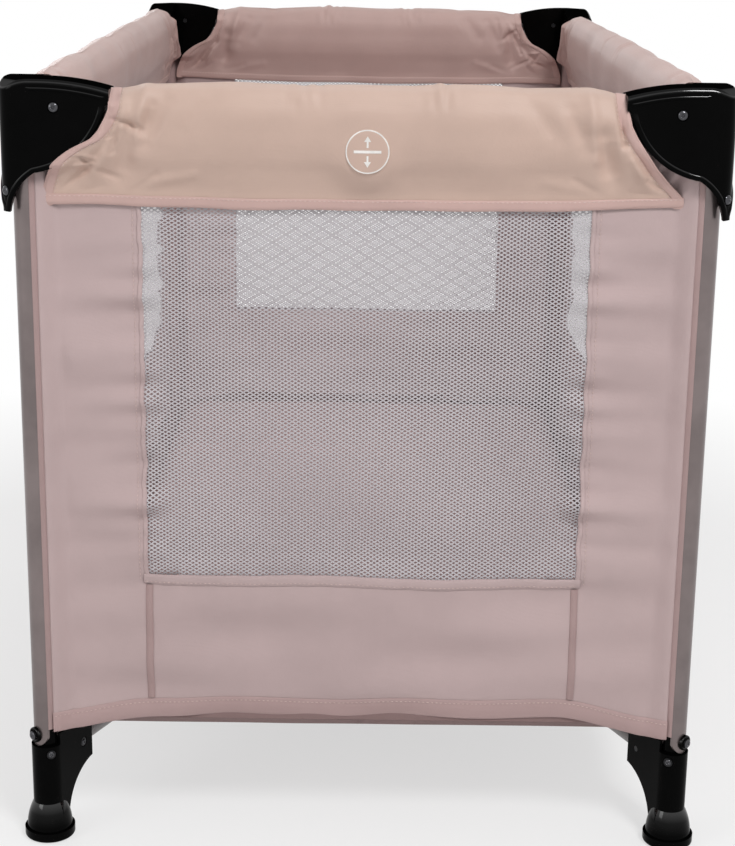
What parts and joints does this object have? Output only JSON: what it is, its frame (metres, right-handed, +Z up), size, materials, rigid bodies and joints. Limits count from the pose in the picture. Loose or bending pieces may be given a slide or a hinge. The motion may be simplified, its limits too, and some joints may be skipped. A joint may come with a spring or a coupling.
{
  "type": "folding travel cot",
  "caption": "Folding travel cot with fabric walls, net windows and a mattress; the padded top rails unlatch and the base pulls up so the posts draw together.",
  "frame": {"origin": "on the floor under the middle of the cot", "axes": "+X along the short sides to the right as seen from the pictured end, +Y along the long sides away from that end, +Z up"},
  "size_m": [0.674, 1.27, 0.755],
  "materials": {
    "post_steel": "satin",
    "rail_steel": "satin",
    "black_plastic": "gloss",
    "bright_steel": "bright",
    "button_plastic": "matte",
    "cover_fabric": "woven",
    "wall_fabric": "woven",
    "net_mesh": "net",
    "floor_fabric": "woven",
    "mattress_fabric": "woven"
  },
  "bodies": {
    "corner_front_left": {"post_front_left": "post_steel", "bracket_front_left": "black_plastic", "foot_front_left": "black_plastic", "screws_front_left": "bright_steel", "wall_front": "wall_fabric", "net_front": "net_mesh", "wall_left": "wall_fabric", "net_left": "net_mesh"},
    "corner_front_right": {"post_front_right": "post_steel", "bracket_front_right": "black_plastic", "foot_front_right": "black_plastic", "screws_front_right": "bright_steel", "wall_right": "wall_fabric", "net_right": "net_mesh"},
    "corner_back_right": {"post_back_right": "post_steel", "bracket_back_right": "black_plastic", "foot_back_right": "black_plastic", "screws_back_right": "bright_steel"},
    "corner_back_left": {"post_back_left": "post_steel", "bracket_back_left": "black_plastic", "foot_back_left": "black_plastic", "screws_back_left": "bright_steel", "wall_back": "wall_fabric", "net_back": "net_mesh"},
    "rail_front_left": {"rail_front_left": "rail_steel", "cover_front_left": "cover_fabric"},
    "rail_front_right": {"rail_front_right": "rail_steel", "cover_front_right": "cover_fabric"},
    "lock_front": {"lock_front": "rail_steel", "lock_pins_front": "bright_steel"},
    "button_front": {"button_front": "button_plastic"},
    "rail_right_front": {"rail_right_front": "rail_steel", "cover_right_front": "cover_fabric"},
    "rail_right_back": {"rail_right_back": "rail_steel", "cover_right_back": "cover_fabric"},
    "lock_right": {"lock_right": "rail_steel", "lock_pins_right": "bright_steel"},
    "button_right": {"button_right": "button_plastic"},
    "rail_back_right": {"rail_back_right": "rail_steel", "cover_back_right": "cover_fabric"},
    "rail_back_left": {"rail_back_left": "rail_steel", "cover_back_left": "cover_fabric"},
    "lock_back": {"lock_back": "rail_steel", "lock_pins_back": "bright_steel"},
    "button_back": {"button_back": "button_plastic"},
    "rail_left_back": {"rail_left_back": "rail_steel", "cover_left_back": "cover_fabric"},
    "rail_left_front": {"rail_left_front": "rail_steel", "cover_left_front": "cover_fabric"},
    "lock_left": {"lock_left": "rail_steel", "lock_pins_left": "bright_steel"},
    "button_left": {"button_left": "button_plastic"},
    "base_tube_front_left": {"base_tube_front_left": "rail_steel"},
    "base_tube_front_right": {"base_tube_front_right": "rail_steel"},
    "base_tube_back_right": {"base_tube_back_right": "rail_steel"},
    "base_tube_back_left": {"base_tube_back_left": "rail_steel"},
    "hub": {"hub": "black_plastic", "hub_pins": "bright_steel", "floor_sheet": "floor_fabric"},
    "mattress": {"mattress": "mattress_fabric"}
  },
  "joints": [
    {"name": "fold", "type": "hinge", "parent": "corner_front_left", "child": "base_tube_front_left", "pos_m": [-0.29466, -0.57174, 0.085], "axis": [0.9108, -0.4128, 0], "range_deg": [0, 85], "deforming": ["wall_front", "net_front", "wall_left", "net_left", "wall_right", "net_right", "wall_back", "net_back", "cover_front_left", "cover_front_right", "cover_right_front", "cover_right_back", "cover_back_right", "cover_back_left", "cover_left_back", "cover_left_front", "floor_sheet", "mattress"]},
    {"name": "hub_level", "type": "hinge", "parent": "base_tube_front_left", "child": "hub", "pos_m": [-0.04766, -0.02675, 0.085], "axis": [0.9108, -0.4128, 0], "range_deg": [-86, 1]},
    {"name": "base_front_right", "type": "hinge", "parent": "hub", "child": "base_tube_front_right", "pos_m": [0.04766, -0.02675, 0.085], "axis": [0.9108, 0.4128, 0], "range_deg": [-1, 86]},
    {"name": "foot_front_right", "type": "hinge", "parent": "base_tube_front_right", "child": "corner_front_right", "pos_m": [0.29466, -0.57174, 0.085], "axis": [0.9108, 0.4128, 0], "range_deg": [-86, 1]},
    {"name": "base_back_right", "type": "hinge", "parent": "hub", "child": "base_tube_back_right", "pos_m": [0.04766, 0.02675, 0.085], "axis": [-0.9108, 0.4128, 0], "range_deg": [-1, 86]},
    {"name": "foot_back_right", "type": "hinge", "parent": "base_tube_back_right", "child": "corner_back_right", "pos_m": [0.29466, 0.57174, 0.085], "axis": [-0.9108, 0.4128, 0], "range_deg": [-86, 1]},
    {"name": "base_back_left", "type": "hinge", "parent": "hub", "child": "base_tube_back_left", "pos_m": [-0.04766, 0.02675, 0.085], "axis": [-0.9108, -0.4128, 0], "range_deg": [-1, 86]},
    {"name": "foot_back_left", "type": "hinge", "parent": "base_tube_back_left", "child": "corner_back_left", "pos_m": [-0.29466, 0.57174, 0.085], "axis": [-0.9108, -0.4128, 0], "range_deg": [-86, 1]},
    {"name": "rail_front_left", "type": "hinge", "parent": "corner_front_left", "child": "rail_front_left", "pos_m": [-0.282, -0.61, 0.73], "axis": [0, 1, 0], "range_deg": [-1, 86]},
    {"name": "lock_front", "type": "hinge", "parent": "rail_front_left", "child": "lock_front", "pos_m": [-0.035, -0.61, 0.73], "axis": [0, 1, 0], "range_deg": [-86, 1]},
    {"name": "rail_front_right", "type": "hinge", "parent": "corner_front_right", "child": "rail_front_right", "pos_m": [0.282, -0.61, 0.73], "axis": [0, -1, 0], "range_deg": [-1, 86]},
    {"name": "rail_right_front", "type": "hinge", "parent": "corner_front_right", "child": "rail_right_front", "pos_m": [0.312, -0.58, 0.73], "axis": [-1, 0, 0], "range_deg": [-1, 86]},
    {"name": "lock_right", "type": "hinge", "parent": "rail_right_front", "child": "lock_right", "pos_m": [0.312, -0.035, 0.73], "axis": [-1, 0, 0], "range_deg": [-86, 1]},
    {"name": "rail_right_back", "type": "hinge", "parent": "corner_back_right", "child": "rail_right_back", "pos_m": [0.312, 0.58, 0.73], "axis": [1, 0, 0], "range_deg": [-1, 86]},
    {"name": "rail_back_right", "type": "hinge", "parent": "corner_back_right", "child": "rail_back_right", "pos_m": [0.282, 0.61, 0.73], "axis": [0, -1, 0], "range_deg": [-1, 86]},
    {"name": "rail_back_left", "type": "hinge", "parent": "corner_back_left", "child": "rail_back_left", "pos_m": [-0.282, 0.61, 0.73], "axis": [0, 1, 0], "range_deg": [-1, 86]},
    {"name": "lock_back", "type": "hinge", "parent": "rail_back_left", "child": "lock_back", "pos_m": [-0.035, 0.61, 0.73], "axis": [0, 1, 0], "range_deg": [-86, 1]},
    {"name": "rail_left_back", "type": "hinge", "parent": "corner_back_left", "child": "rail_left_back", "pos_m": [-0.312, 0.58, 0.73], "axis": [1, 0, 0], "range_deg": [-1, 86]},
    {"name": "rail_left_front", "type": "hinge", "parent": "corner_front_left", "child": "rail_left_front", "pos_m": [-0.312, -0.58, 0.73], "axis": [-1, 0, 0], "range_deg": [-1, 86]},
    {"name": "lock_left", "type": "hinge", "parent": "rail_left_front", "child": "lock_left", "pos_m": [-0.312, -0.035, 0.73], "axis": [-1, 0, 0], "range_deg": [-86, 1]},
    {"name": "push_front", "type": "slide", "parent": "lock_front", "child": "button_front", "axis": [0, 1, 0], "range_m": [0, 0.005], "stiffness_N_per_m": 400, "springref_m": -0.004},
    {"name": "push_right", "type": "slide", "parent": "lock_right", "child": "button_right", "axis": [-1, 0, 0], "range_m": [0, 0.005], "stiffness_N_per_m": 400, "springref_m": -0.004},
    {"name": "push_back", "type": "slide", "parent": "lock_back", "child": "button_back", "axis": [0, -1, 0], "range_m": [0, 0.005], "stiffness_N_per_m": 400, "springref_m": -0.004},
    {"name": "push_left", "type": "slide", "parent": "lock_left", "child": "button_left", "axis": [1, 0, 0], "range_m": [0, 0.005], "stiffness_N_per_m": 400, "springref_m": -0.004},
    {"name": "mattress_lift", "type": "slide", "parent": "hub", "child": "mattress", "axis": [0, 0, 1], "range_m": [0, 0.66]}
  ],
  "couplings": [
    {"joint": "hub_level", "follows": "fold", "ratio": -1},
    {"joint": "base_front_right", "follows": "fold", "ratio": 1},
    {"joint": "foot_front_right", "follows": "fold", "ratio": -1},
    {"joint": "base_back_right", "follows": "fold", "ratio": 1},
    {"joint": "foot_back_right", "follows": "fold", "ratio": -1},
    {"joint": "base_back_left", "follows": "fold", "ratio": 1},
    {"joint": "foot_back_left", "follows": "fold", "ratio": -1},
    {"joint": "rail_front_left", "follows": "fold", "ratio": 1},
    {"joint": "lock_front", "follows": "fold", "ratio": -1},
    {"joint": "rail_front_right", "follows": "fold", "ratio": 1},
    {"joint": "rail_right_front", "follows": "fold", "ratio": 1},
    {"joint": "lock_right", "follows": "fold", "ratio": -1},
    {"joint": "rail_right_back", "follows": "fold", "ratio": 1},
    {"joint": "rail_back_right", "follows": "fold", "ratio": 1},
    {"joint": "rail_back_left", "follows": "fold", "ratio": 1},
    {"joint": "lock_back", "follows": "fold", "ratio": -1},
    {"joint": "rail_left_back", "follows": "fold", "ratio": 1},
    {"joint": "rail_left_front", "follows": "fold", "ratio": 1},
    {"joint": "lock_left", "follows": "fold", "ratio": -1}
  ]
}
